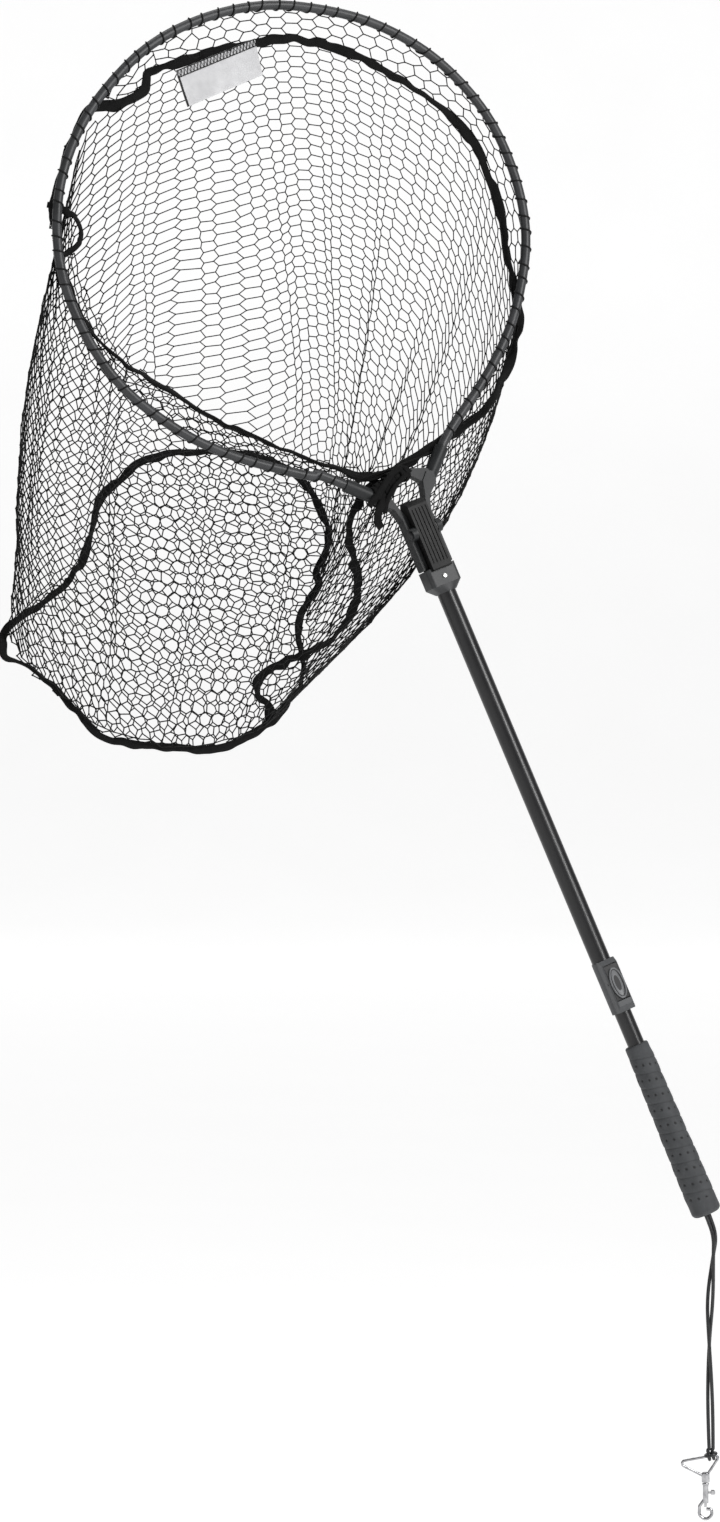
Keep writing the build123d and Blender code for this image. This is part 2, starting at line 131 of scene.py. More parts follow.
CORD_R = 2.1
HITCH_X = 42.8
HITCH_Z = -360.0
BAIL_BAR = [(2.4, -377.3), (54.4, -367.6)]

SIDE = np.array((math.cos(TURN) * math.cos(SLANT), math.sin(TURN), math.cos(TURN) * math.sin(SLANT)))
UP = np.array((-math.sin(SLANT), 0.0, math.cos(SLANT)))
BACK = np.cross(UP, SIDE)
AXES = np.array((SIDE, BACK, UP))
rng = np.random.default_rng(7)

CAMERA_LENS = 123.41
CAMERA_PLACE = (-0.36087, -6.0, 0.429065)


# ---- camera ----
def make_camera():
    data = bpy.data.cameras.new("camera")
    data.lens = CAMERA_LENS
    data.sensor_width = 36.0
    data.clip_end = 60.0
    camera = bpy.data.objects.new("camera", data)
    bpy.context.scene.collection.objects.link(camera)
    camera.location = CAMERA_PLACE
    camera.rotation_euler = (math.pi / 2, 0.0, 0.0)
    bpy.context.scene.camera = camera
    bpy.context.scene.view_settings.view_transform = "Standard"


make_camera()


# ---- helpers: shapes ----
def world(points):
    return np.asarray(points, dtype=float) @ AXES / 1000.0


def unit(v):
    return v / np.maximum(np.linalg.norm(v, axis=-1, keepdims=True), 1e-12)


def add_mesh(name, verts, faces, finish, body="head"):
    mesh = bpy.data.meshes.new(name)
    mesh.from_pydata([tuple(v) for v in verts], [], [tuple(int(i) for i in f) for f in faces])
    mesh.polygons.foreach_set("use_smooth", [True] * len(mesh.polygons))
    mesh.materials.append(finish)
    mesh.update()
    obj = bpy.data.objects.new(name, mesh)
    bpy.context.scene.collection.objects.link(obj)
    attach(obj, body)
    return obj


def resample(points, count, closed=False):
    """Evenly spaced points on a smooth line through these."""
    pts = np.asarray(points, dtype=float)
    size = len(pts)
    line = []
    spans = size if closed else size - 1
    for i in range(spans):
        if closed:
            a, b, c, d = (pts[(i + k) % size] for k in (-1, 0, 1, 2))
        else:
            b, c = pts[i], pts[i + 1]
            a = pts[i - 1] if i > 0 else 2 * b - c
            d = pts[i + 2] if i + 2 < size else 2 * c - b
        for t in np.arange(8) / 8:
            line.append(
                0.5
                * (
                    2 * b
                    + (c - a) * t
                    + (2 * a - 5 * b + 4 * c - d) * t**2
                    + (3 * b - a - 3 * c + d) * t**3
                )
            )
    line.append(pts[0] if closed else pts[-1])
    line = np.array(line)
    far = np.concatenate(([0.0], np.cumsum(np.linalg.norm(np.diff(line, axis=0), axis=1))))
    want = np.linspace(0.0, far[-1], count + 1 if closed else count)
    out = np.stack([np.interp(want, far, line[:, k]) for k in range(line.shape[1])], axis=1)
    return out[:-1] if closed else out


def wander(count, amount, lumps, closed=False, seed=0):
    """A smooth random line of numbers, with about this many lumps."""
    draw = np.random.default_rng(seed)
    keys = draw.normal(0.0, 1.0, lumps)
    if closed:
        keys = np.append(keys, keys[0])
    place = np.linspace(0, len(keys) - 1, count, endpoint=not closed)
    low = np.minimum(place.astype(int), len(keys) - 2)
    share = place - low
    share = share * share * (3 - 2 * share)
    return amount * (keys[low] * (1 - share) + keys[low + 1] * share)


def sweep(path, half_w, half_t, lean, sides=12, closed=False, square=1.0):
    """Verts and faces of a tube along the path, wide across the lean direction and thick along it."""
    path = np.asarray(path, dtype=float)
    n = len(path)
    half_w = np.broadcast_to(half_w, n)
    half_t = np.broadcast_to(half_t, n)
    if closed:
        along = unit(np.roll(path, -1, 0) - np.roll(path, 1, 0))
    else:
        along = unit(np.vstack((path[1:], path[-1:])) - np.vstack((path[:1], path[:-1])))
    lean = np.broadcast_to(lean, (n, 3))
    across = unit(np.cross(along, lean))
    out = unit(np.cross(across, along))
    turn = (np.arange(sides) + 0.5) * 2 * math.pi / sides
    c = np.sign(np.cos(turn)) * np.abs(np.cos(turn)) ** square
    s = np.sign(np.sin(turn)) * np.abs(np.sin(turn)) ** square
    rings = (
        path[:, None, :]
        + half_w[:, None, None] * c[None, :, None] * across[:, None, :]
        + half_t[:, None, None] * s[None, :, None] * out[:, None, :]
    )
    faces = []
    for i in range(n if closed else n - 1):
        a = i * sides
        b = ((i + 1) % n) * sides
        for k in range(sides):
            m = (k + 1) % sides
            faces.append((a + k, a + m, b + m, b + k))
    if not closed:
        faces.append(tuple(range(sides))[::-1])
        faces.append(tuple((n - 1) * sides + k for k in range(sides)))
    return rings.reshape(-1, 3), faces


def joined(parts):
    verts, faces, base = [], [], 0
    for v, f in parts:
        verts.append(v)
        faces.extend(tuple(i + base for i in face) for face in f)
        base += len(v)
    return np.vstack(verts), faces


def strands(name, points, edges, radius, finish):
    """Square-section strands along the edges, with a small eight-sided knot at each point."""
    a, b = points[edges[:, 0]], points[edges[:, 1]]
    along = unit(b - a)
    helper = np.tile(np.array((0.21, 1.0, 0.13)), (len(edges), 1))
    across = unit(np.cross(along, helper))
    out = np.cross(along, across)
    corners = [across, out, -across, -out]
    rings = np.stack([a + radius * c for c in corners] + [b + radius * c for c in corners], axis=1)
    verts = rings.reshape(-1, 3)
    base = np.arange(len(edges))[:, None] * 8
    quads = np.array([(0, 1, 5, 4), (1, 2, 6, 5), (2, 3, 7, 6), (3, 0, 4, 7), (3, 2, 1, 0), (4, 5, 6, 7)])
    faces = (base[:, None, :] + quads[None, :, :]).reshape(-1, 4).tolist()
    used = np.unique(edges)
    spikes = np.array([(1, 0, 0), (0, 1, 0), (0, 0, 1), (-1, 0, 0), (0, -1, 0), (0, 0, -1)], dtype=float)
    size = KNOT_SHARE * radius * (1.0 + 0.25 * rng.random(len(used)))
    knots = (points[used][:, None, :] + size[:, None, None] * spikes[None, :, :]).reshape(-1, 3)
    tris = np.array([(0, 1, 2), (1, 3, 2), (3, 4, 2), (4, 0, 2), (1, 0, 5), (3, 1, 5), (4, 3, 5), (0, 4, 5)])
    start = len(verts) + np.arange(len(used))[:, None, None] * 6
    faces += (start + tris[None, :, :]).reshape(-1, 3).tolist()
    return add_mesh(name, world(np.vstack((verts, knots))), faces, finish)


# ---- helpers: materials ----
def look(name, dark, light, rough, scale, bump, grain, depth, metal=0.0, **extra):
    """Two-tone noise colour, noise roughness and a fine grain bump.

    scale and grain are the broad and the fine noise's scales, bump and depth the grain's strength
    and distance, and extra is any other shader input, with _ for a space in its name.
    """
    mat = bpy.data.materials.new(name)
    mat.use_nodes = True
    tree = mat.node_tree
    nodes, links = tree.nodes, tree.links
    shader = nodes["Principled BSDF"]
    shader.inputs["Metallic"].default_value = metal
    for socket, value in extra.items():
        shader.inputs[socket.replace("_", " ")].default_value = value
    coords = nodes.new("ShaderNodeTexCoord")
    broad = nodes.new("ShaderNodeTexNoise")
    broad.inputs["Scale"].default_value = scale
    broad.inputs["Detail"].default_value = 4.0
    links.new(coords.outputs["Object"], broad.inputs["Vector"])
    ramp = nodes.new("ShaderNodeValToRGB")
    ramp.color_ramp.elements[0].position = 0.32
    ramp.color_ramp.elements[1].position = 0.68
    ramp.color_ramp.elements[0].color = (*dark, 1.0)
    ramp.color_ramp.elements[1].color = (*light, 1.0)
    links.new(broad.outputs["Fac"], ramp.inputs["Fac"])
    links.new(ramp.outputs["Color"], shader.inputs["Base Color"])
    spread = nodes.new("ShaderNodeMapRange")
    spread.inputs["To Min"].default_value = rough[0]
    spread.inputs["To Max"].default_value = rough[1]
    links.new(broad.outputs["Fac"], spread.inputs["Value"])
    links.new(spread.outputs["Result"], shader.inputs["Roughness"])
    fine = nodes.new("ShaderNodeTexNoise")
    fine.inputs["Scale"].default_value = grain
    fine.inputs["Detail"].default_value = 3.0
    links.new(coords.outputs["Object"], fine.inputs["Vector"])
    relief = nodes.new("ShaderNodeBump")
    relief.inputs["Strength"].default_value = bump
    relief.inputs["Distance"].default_value = depth
    links.new(fine.outputs["Fac"], relief.inputs["Height"])
    links.new(relief.outputs["Normal"], shader.inputs["Normal"])
    return mat


def weave(mat, scale, strength, depth):
    """Adds crossed ribs over a material's own bump, as in woven tape or braided cord."""
    nodes, links = mat.node_tree.nodes, mat.node_tree.links
    coords = next(n for n in nodes if n.type == "TEX_COORD")
    relief = next(n for n in nodes if n.type == "BUMP")
    shader = nodes["Principled BSDF"]
    ribs = []
    for axis in ("X", "Z"):
        wave = nodes.new("ShaderNodeTexWave")
        wave.bands_direction = axis
        wave.inputs["Scale"].default_value = scale
        wave.inputs["Distortion"].default_value = 1.2
        wave.inputs["Detail"].default_value = 1.0
        links.new(coords.outputs["Object"], wave.inputs["Vector"])
        ribs.append(wave)
    both = nodes.new("ShaderNodeMath")
    both.operation = "MULTIPLY"
    links.new(ribs[0].outputs["Fac"], both.inputs[0])
    links.new(ribs[1].outputs["Fac"], both.inputs[1])
    over = nodes.new("ShaderNodeBump")
    over.inputs["Strength"].default_value = strength
    over.inputs["Distance"].default_value = depth
    links.new(both.outputs["Value"], over.inputs["Height"])
    links.new(relief.outputs["Normal"], over.inputs["Normal"])
    links.new(over.outputs["Normal"], shader.inputs["Normal"])
    return mat


TUBE = look(
    "tube_black_coat", (0.004, 0.004, 0.005), (0.009, 0.009, 0.010), (0.28, 0.38),
    30, 0.10, 700, 0.0002,
)
INNER = look(
    "inner_anodised", (0.005, 0.005, 0.006), (0.010, 0.010, 0.011), (0.26, 0.38),
    40, 0.10, 900, 0.0001,
)
HOOP = look(
    "hoop_coat", (0.018, 0.019, 0.020), (0.036, 0.037, 0.040), (0.38, 0.54),
    45, 0.14, 800, 0.0003,
)
FOAM = look(
    "grip_foam", (0.036, 0.038, 0.041), (0.056, 0.059, 0.063), (0.60, 0.78),
    70, 0.45, 1500, 0.0004,
)
GREY = look(
    "moulded_grey", (0.044, 0.046, 0.049), (0.066, 0.069, 0.073), (0.44, 0.58),
    55, 0.22, 1800, 0.0002,
)
# Painted shade: the lock button is coloured near-black to stand in for the shade of a deep recess.
RECESS_PAINTED_SHADE = look(
    "recess_painted_shade", (0.010, 0.010, 0.011), (0.018, 0.018, 0.019), (0.5, 0.65),
    90, 0.2, 1800, 0.0002,
)
BUTTON = look(
    "button_grey", (0.110, 0.113, 0.118), (0.155, 0.159, 0.165), (0.36, 0.50),
    90, 0.18, 1800, 0.0002,
)
YOKE = look(
    "yoke_grey", (0.007, 0.008, 0.009), (0.016, 0.017, 0.018), (0.42, 0.56), 50, 0.22, 1400, 0.0003,
    Specular_IOR_Level=0.35,
)
COLLAR = look(
    "collar_grey", (0.014, 0.015, 0.016), (0.026, 0.027, 0.029), (0.42, 0.56),
    70, 0.22, 1800, 0.0002,
)
BLOCK = look(
    "block_black", (0.003, 0.003, 0.003), (0.006, 0.006, 0.006), (0.40, 0.55), 60, 0.25, 1400, 0.0003,
    Specular_IOR_Level=0.22,
)
RIVET = look(
    "rivet_steel", (0.20, 0.20, 0.20), (0.32, 0.32, 0.31), (0.32, 0.44),
    220, 0.10, 2600, 0.0001, 1.0,
)
STEEL = look(
    "steel", (0.50, 0.50, 0.49), (0.66, 0.66, 0.65), (0.22, 0.34),
    220, 0.10, 2600, 0.0001, 1.0,
)
BLACKED = look(
    "blackened_steel", (0.020, 0.020, 0.022), (0.040, 0.040, 0.042), (0.30, 0.44),
    160, 0.12, 2200, 0.0001, 0.6,
)
CHROME = look(
    "chrome", (0.30, 0.30, 0.31), (0.52, 0.52, 0.53), (0.10, 0.22),
    160, 0.05, 1800, 0.0001, 1.0,
)
PALE = look(
    "nylon_pale", (0.10, 0.10, 0.10), (0.34, 0.34, 0.33), (0.45, 0.58),
    200, 0.15, 1800, 0.0001,
)
RUBBER = look(
    "shoe_rubber", (0.014, 0.014, 0.014), (0.022, 0.022, 0.022), (0.7, 0.85),
    120, 0.4, 2200, 0.0002,
)
CORD = look(
    "lanyard_cord", (0.008, 0.009, 0.010), (0.020, 0.021, 0.023), (0.24, 0.38),
    260, 0.20, 1500, 0.0002,
)
NET = look(
    "net_twine", (0.003, 0.003, 0.003), (0.007, 0.007, 0.007), (0.60, 0.80),
    180, 0.35, 2600, 0.0002, Specular_IOR_Level=0.25,
)
TAPE = weave(
    look(
        "tape_weave", (0.002, 0.002, 0.002), (0.006, 0.006, 0.006), (0.72, 0.90),
        140, 0.8, 1300, 0.0007, Specular_IOR_Level=0.2,
    ),
    420.0, 0.6, 0.0004,
)
LABEL = weave(
    look("label_cloth", (0.52, 0.52, 0.53), (0.64, 0.64, 0.65), (0.55, 0.70), 60, 0.3, 1600, 0.0002),
    900.0, 0.25, 0.00015,
)
THREAD = look(
    "stitch_thread", (0.003, 0.003, 0.003), (0.008, 0.008, 0.008), (0.6, 0.8),
    400, 0.4, 3000, 0.0001,
)
NODE_LOOKS = {
    "inner_tube": INNER, "butt_cap": RUBBER, "guide_bush": RUBBER, "outer_tube": TUBE, "lock_housing": GREY,
    "lock_pin": STEEL, "lock_button": RECESS_PAINTED_SHADE, "lock_shoe": RUBBER, "hinge_block": BLOCK,
    "hinge_collar": COLLAR,
    "collar_rivet": RIVET, "yoke": YOKE, "hinge_pin": BLACKED, "pin_washers": PALE, "hoop_tube": HOOP,
    "bail_ring": CHROME, "swivel_barrel": CHROME, "snap_hook": CHROME, "hook_gate": CHROME,
}
for node, finish in NODE_LOOKS.items():
    data = frame["nodes"][node].data
    if not data.materials:
        data.materials.append(finish)
    for place in frame["nodes"][node].material_slots:
        place.material = finish


# ---- lanyard ----
def strand_route(hand):
    route = [world((hand * 2.3, 0, -84)), world((hand * 2.3, 0, -104))]
    across = [
        (-118.0, 47.6, 1.8, 2.2), (-141.0, 45.2, 0.0, 2.6), (-189.0, 41.6, -3.7, 0.6),
        (-234.0, 40.6, -0.6, -2.7), (-282.0, 41.2, 2.1, -2.0), (-328.0, 42.2, 2.9, -0.2),
        (HITCH_Z, HITCH_X, 2.3, 0.0),
    ]
    return route + [np.array((x + hand * dx, hand * dy, z)) / 1000.0 for z, x, dx, dy in across]


def make_strand(name, node, hand):
    route = strand_route(hand)
    data = bpy.data.curves.new(name, "CURVE")
    data.dimensions = "3D"
    spline = data.splines.new("NURBS")
    spline.points.add(len(route) - 1)
    for point, place in zip(spline.points, route):
        point.co = (*place, 1.0)
    spline.order_u = 3
    spline.use_endpoint_u = True
    spline.resolution_u = 16
    data.bevel_depth = CORD_R / 1000.0
    data.bevel_resolution = 5
    data.use_fill_caps = True
    data.materials.append(CORD)
    obj = bpy.data.objects.new(name, data)
    bpy.context.scene.collection.objects.link(obj)
    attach(obj, "handle")
    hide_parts(node)
    return obj


def make_hitch():
    """The lark's head on the bail: two turns over the bar and one across their front."""
    (x0, z0), (x1, z1) = BAIL_BAR
    tilt = math.atan2(z1 - z0, x1 - x0)
    along = np.array((math.cos(tilt), 0.0, math.sin(tilt)))
    above = np.array((-math.sin(tilt), 0.0, math.cos(tilt)))
    near = np.array((0.0, -1.0, 0.0))
    bar = np.array((HITCH_X, 0.0, z0 + (HITCH_X - x0) * math.tan(tilt)))
    parts = []
    turn = np.linspace(0, 2 * math.pi, 33)[:-1]
    for shift in (-2.5, 2.5):
        ring = bar + along * shift + 4.0 * (np.cos(turn)[:, None] * above + np.sin(turn)[:, None] * near)
        parts.append(sweep(ring, 2.0, 2.0, along, 12, True))
    over = [
        bar + near * 2.0 - along * 6.0 + above * 1.0, bar + near * 5.4 - along * 3.6 + above * 0.6,
        bar + near * 6.4 + above * 0.9, bar + near * 5.4 + along * 3.6 + above * 1.2,
        bar + near * 2.0 + along * 6.0 + above * 1.6, bar - near * 2.4 + along * 5.0 + above * 2.0,
        bar - near * 4.4 + above * 2.2, bar - near * 2.4 - along * 5.0 + above * 1.6,
    ]
    parts.append(sweep(resample(over, 40, True), 1.9, 1.9, above, 12, True))
    for hand in (-1, 1):
        legs = [
            bar + along * 2.5 * hand + above * 3.6, bar + along * 2.5 * hand + above * 7.0,
            np.array((HITCH_X + 2.3 * hand, 0.0, HITCH_Z - 2.0)),
            np.array((HITCH_X + 2.3 * hand, 0.0, HITCH_Z + 1.0)),
        ]
        parts.append(sweep(resample(legs, 10), 2.06, 2.06, near, 12))
    verts, faces = joined(parts)
    obj = add_mesh("hitch_knot", verts / 1000.0, faces, CORD, "handle")
    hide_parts("lanyard_hitch")
    return obj


hitch = make_hitch()
# Each strand: piece, CAD node, side of the knot, and its whole length in metres.
STRANDS = [("cord_right", "lanyard_right", 1, 0.287), ("cord_left", "lanyard_left", -1, 0.285)]
for name, node, hand, long in STRANDS:
    strand = make_strand(name, node, hand)


# ---- grip ----
def grip_radius(z):
    low, high = GRIP_Z
    keys = [low, low + 30.0, low + 120.0, high]
    return np.interp(z, keys, [GRIP_BUTT_R, GRIP_BUTT_R - 0.4, 15.8, GRIP_TOP_R])


def grip_heights(low, high):
    """Heights of the rings: close together round the rounded foot and the rounded top edge."""
    foot = low + 6.0 * (1 - np.cos(np.linspace(0, math.pi / 2, 14)))
    top = high - 2.0 + 2.0 * np.sin(np.linspace(0, math.pi / 2, 8))
    return np.concatenate((foot, [low + 6.5], np.linspace(low + 7.0, high - 2.4, GRIP_ROWS), top))


def grip_surface(zz, tt, low, high):
    """Radius of the spiral wrap with its round dimples, and how much painted shade each point gets in the
    dimples and along the seam groove.
    """
    phase = (zz / WRAP_PITCH + tt / (2 * math.pi)) % 1.0
    lap = np.where(phase < 0.84, 0.45 - 0.6 * (phase / 0.84), -0.15 + 0.6 * ((phase - 0.84) / 0.16))
    seam = -0.38 * np.exp(-(((phase - 0.85) / 0.045) ** 2))
    fade = np.clip((zz - low - 14) / 12, 0, 1) * np.clip((high - 11 - zz) / 5, 0, 1)
    crown = 0.45 * np.sin(math.pi * phase) * fade
    radius = grip_radius(zz) - 0.55 + fade * (lap + seam) + crown
    radius = radius + 0.12 * np.sin(3 * tt + zz / 9.0) + 0.1 * np.sin(5 * tt - zz / 6.0)
    step = 2 * math.pi * 16.0 / DIMPLES_ROUND
    off = ((tt * 16.0 / step + 0.3) % 1.0 - 0.5) * step
    up = (phase - 0.42) * WRAP_PITCH
    dots = np.exp(-((off**2 + up**2) / DIMPLE_R**2) ** 1.5) * (fade > 0.5)
    radius = radius - DIMPLE_DEPTH * dots
    edge_top = np.clip((high - zz) / 2.6, 0, 1)
    edge_low = np.clip((zz - low) / 6.0, 0, 1)
    radius = radius - 2.2 * (1 - np.sqrt(1 - (1 - edge_top) ** 2))
    radius = radius - 6.0 * (1 - np.sqrt(1 - (1 - edge_low) ** 2))
    # Painted shade: a dark line along the seam groove between the wraps.
    seam_painted_shade = 0.35 * np.exp(-(((phase - 0.85) / 0.035) ** 2)) * fade
    return radius, np.maximum(dots, seam_painted_shade)


def circle(radius, turn, height):
    return np.stack((radius * np.cos(turn), radius * np.sin(turn), np.full(len(turn), height)), axis=-1)


def make_grip():
    low, high = CAP_FOOT - 1.0, GRIP_Z[1]
    turn = np.arange(GRIP_SIDES) * 2 * math.pi / GRIP_SIDES
    zz, tt = np.meshgrid(grip_heights(low, high), turn, indexing="ij")
    radius, dark = grip_surface(zz, tt, low, high)
    ring = np.stack((radius * np.cos(tt), radius * np.sin(tt), zz), axis=-1)
    inside = [
        (GRIP_BORE_R, CAP_TOP), (CAP_R, CAP_TOP), (CAP_R, CAP_FOOT),
        (CORD_HOLE_R, CAP_FOOT), (CORD_HOLE_R, low),
    ]
    cup = np.array([circle(r, turn, h) for r, h in inside])
    rings = np.concatenate((cup, ring, circle(GRIP_BORE_R, turn, high)[None]), axis=0)
    count = len(rings)
    here = np.arange(GRIP_SIDES)
    a = np.arange(count - 1)[:, None] * GRIP_SIDES + here[None, :]
    b = np.arange(count - 1)[:, None] * GRIP_SIDES + (here[None, :] + 1) % GRIP_SIDES
    faces = np.stack((a, b, b + GRIP_SIDES, a + GRIP_SIDES), axis=-1).reshape(-1, 4).tolist()
    last = (count - 1) * GRIP_SIDES
    for k in range(GRIP_SIDES):
        m = (k + 1) % GRIP_SIDES
        faces.append((last + k, last + m, m, k))
    obj = add_mesh("grip_wrap", world(rings.reshape(-1, 3)), faces, FOAM, "handle")
    painted_shade_mask = obj.data.attributes.new("grip_painted_shade", "FLOAT", "POINT")
    plain = np.zeros(GRIP_SIDES)
    painted_shade_mask.data.foreach_set("value", np.concatenate([plain] * len(inside) + [dark.ravel(), plain]))
    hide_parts("grip")


# Mixes a painted-shade colour into the base colour wherever the named attribute is high.
def paint_shade_by(mat, attribute, colour):
    nodes, links = mat.node_tree.nodes, mat.node_tree.links
    shader = nodes["Principled BSDF"]
    ramp = next(n for n in nodes if n.type == "VALTORGB")
    painted_shade_mask = nodes.new("ShaderNodeAttribute")
    painted_shade_mask.attribute_name = attribute
    mix = nodes.new("ShaderNodeMix")
    mix.data_type = "RGBA"
    mix.inputs[7].default_value = (*colour, 1.0)
    links.new(painted_shade_mask.outputs["Fac"], mix.inputs[0])
    links.new(ramp.outputs["Color"], mix.inputs[6])
    links.new(mix.outputs[2], shader.inputs["Base Color"])


# Painted shade: near-black in the grip's round dimples and along its seam groove.
paint_shade_by(FOAM, "grip_painted_shade", (0.003, 0.003, 0.003))
make_grip()


# ---- thumb button's dished oval ----
OVAL_Z = 186.5


def make_oval():
    profile = [
        (8.7, 18.8, -16.6), (8.7, 18.8, -19.0), (8.5, 18.6, -19.5), (8.0, 18.0, -19.8), (7.4, 17.3, -19.6),
        (6.6, 16.2, -19.0), (5.2, 13.6, -18.5), (3.4, 9.4, -18.2), (1.6, 4.6, -18.05),
    ]
    sides = 72
    turn = np.arange(sides) * 2 * math.pi / sides
    rings = [
        np.stack((a * np.cos(turn), np.full(sides, y), OVAL_Z + b * np.sin(turn)), axis=1)
        for a, b, y in profile
    ]
    verts = np.vstack(rings + [np.array([(0.0, -18.0, OVAL_Z), (0.0, -16.6, OVAL_Z)])])
    faces = []
    for i in range(len(profile) - 1):
        for k in range(sides):
            m = (k + 1) % sides
            faces.append((i * sides + k, (i + 1) * sides + k, (i + 1) * sides + m, i * sides + m))
    last = (len(profile) - 1) * sides
    middle = len(profile) * sides
    for k in range(sides):
        m = (k + 1) % sides
        faces.append((last + k, middle, last + m))
        faces.append((k, m, middle + 1))
    obj = add_mesh("thumb_oval", world(verts), faces, BUTTON, "thumb_lock")


make_oval()


# ---- hoop lacing ----
def hoop_line(count):
    right = [SOCKET_OUT] + HOOP_HALF
    left = [(-x, z) for x, z in reversed(right)]
    flat = right + [(0.0, HOOP_TOP_Z)] + left
    return resample([(x, 0.0, z) for x, z in flat], count)


def make_lacing():
    steps = 26
    path = hoop_line(LACING_TURNS * steps + 1)[6:-6]
    n = len(path)
    along = unit(np.gradient(path, axis=0))
    out = unit(np.cross(along, np.array((0.0, 1.0, 0.0))))
    front = np.array((0.0, -1.0, 0.0))
    part = np.arange(n) / steps
    jitter = wander(n, 0.10, LACING_TURNS * 2, seed=3)
    turn = 2 * math.pi * (part + jitter) + 0.75 * np.sin(2 * math.pi * (part + jitter))
    reach = HOOP_R + 0.7
    ring = np.cos(turn)[:, None] * front + np.sin(turn)[:, None] * out
    line = path + reach * ring
    verts, faces = sweep(line, 0.95, 0.95, ring, 7)
    obj = add_mesh("hoop_lacing", world(verts), faces, NET)
    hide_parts("hoop_wraps")


make_lacing()


# ---- netting ----
def table(values, place):
    """The value at a fractional place in a table that goes once round the bag."""
    keys = np.append(np.asarray(values, dtype=float), values[0])
    return np.interp(place % len(values), np.arange(len(keys)), keys)


def hang_turn(place):
    keys = np.append(np.asarray(HANG_TURN, dtype=float), HANG_TURN[0] + 360.0)
    return np.interp(place % 36, np.arange(37), keys)


def wall_point(place, t, out=0.0):
    turn = np.radians(place * 10.0)
    hang = hang_turn(place)
    low_r = table(PANEL_RADII, hang / 10.0)
    rim_r = table(RIM_RADII, place)
    rim_x = RIM_CENTRE[0] + rim_r * np.sin(turn)
    rim_z = RIM_CENTRE[1] + rim_r * np.cos(turn)
    low_x = PANEL_CENTRE[0] + low_r * np.sin(np.radians(hang))
    low_z = PANEL_CENTRE[1] + low_r * np.cos(np.radians(hang))
    x = rim_x + (low_x - rim_x) * t
    z = rim_z + (low_z - rim_z) * t
    for centre, spread, dx, dz in POUCHES:
        off = ((place * 10.0 - centre + 180.0) % 360.0 - 180.0) / spread
        pouch = np.exp(-off * off) * np.sin(math.pi * t)
        x = x + dx * pouch
        z = z + dz * pouch
    y = RIM_DEPTH + (BAG_DEPTH - RIM_DEPTH) * t + out
    return np.stack((x, y, z), axis=-1)


def fold(place, t):
    """Where a column of netting really hangs, once its folds have drawn it in, and how far it stands out."""
    grow = np.clip(t * 1.7, 0, 1) ** 0.8 * np.clip((1.04 - t) * 4, 0, 1)
    shift = np.zeros_like(place)
    height = np.zeros_like(place)
    for centre, spread, pull, tall in FOLDS:
        bend = centre + 0.22 * np.sin(5.0 * t + centre)
        off = (place - bend + 18.0) % 36.0 - 18.0
        shift -= pull * off * np.exp(-((off / spread) ** 2))
        height += tall * (np.exp(-((off / (0.55 * spread)) ** 2)) - 0.35)
    return place + shift * grow, height * grow


def column_length(place):
    t = np.linspace(0, 1, 30)
    line = wall_point(np.full_like(t, place), t)
    return np.linalg.norm(np.diff(line, axis=0), axis=1).sum()


def make_wall():
    points, index = [], {}
    lengths = [column_length(i * 36.0 / NET_COLUMNS) for i in range(NET_COLUMNS)]
    lengths = np.convolve(np.concatenate((lengths[-3:], lengths, lengths[:3])), np.ones(7) / 7, "valid")
    tops = {}
    for i in range(NET_COLUMNS):
        rows = int(lengths[i] / NET_HALF_ROW)
        tops[i] = rows
        for k in range(rows + 1):
            side = 1.0 if (i + k) % 2 == 0 else -1.0
            place = (i + 0.115 * side) * 36.0 / NET_COLUMNS
            index[(i, k)] = len(points)
            points.append((place, min(k * NET_HALF_ROW / lengths[i], 1.0)))
    flat = np.array(points)
    place, tall = fold(flat[:, 0], flat[:, 1])
    slack = 10.0 * np.sin(3.0 * math.radians(10) * flat[:, 0]) * np.sin(math.pi * flat[:, 1])
    placed = wall_point(place, flat[:, 1], tall + slack)
    ripple = np.sin(flat[:, 0] * 2.3 + 7 * flat[:, 1]) * 2.0 * np.sin(math.pi * flat[:, 1])
    placed += np.stack((ripple, 0 * ripple, 0.6 * ripple), axis=-1)
    loose = np.minimum(flat[:, 1] * 12, 1.0)[:, None]
    placed += rng.normal(0, 0.5, placed.shape) * loose
    near, far = [], []
    for (i, k), here in index.items():
        group = far if (i * 36.0 / NET_COLUMNS) % 36 < 17.5 or (i * 36.0 / NET_COLUMNS) > 33 else near
        if (i, k + 1) in index:
            group.append((here, index[(i, k + 1)]))
        j = (i + 1) % NET_COLUMNS
        if (i + k) % 2 == 0 and (j, k) in index:
            group.append((here, index[(j, k)]))
    ends = [index[(i, tops[i])] for i in range(NET_COLUMNS)]
    for a, b in zip(ends, ends[1:] + ends[:1]):
        near.append((a, b))
    upper = strands("net_wall_upper", placed, np.array(far), 0.62, NET)
    lower = strands("net_wall_lower", placed, np.array(near), 0.68, NET)
    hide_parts("bag_wall")


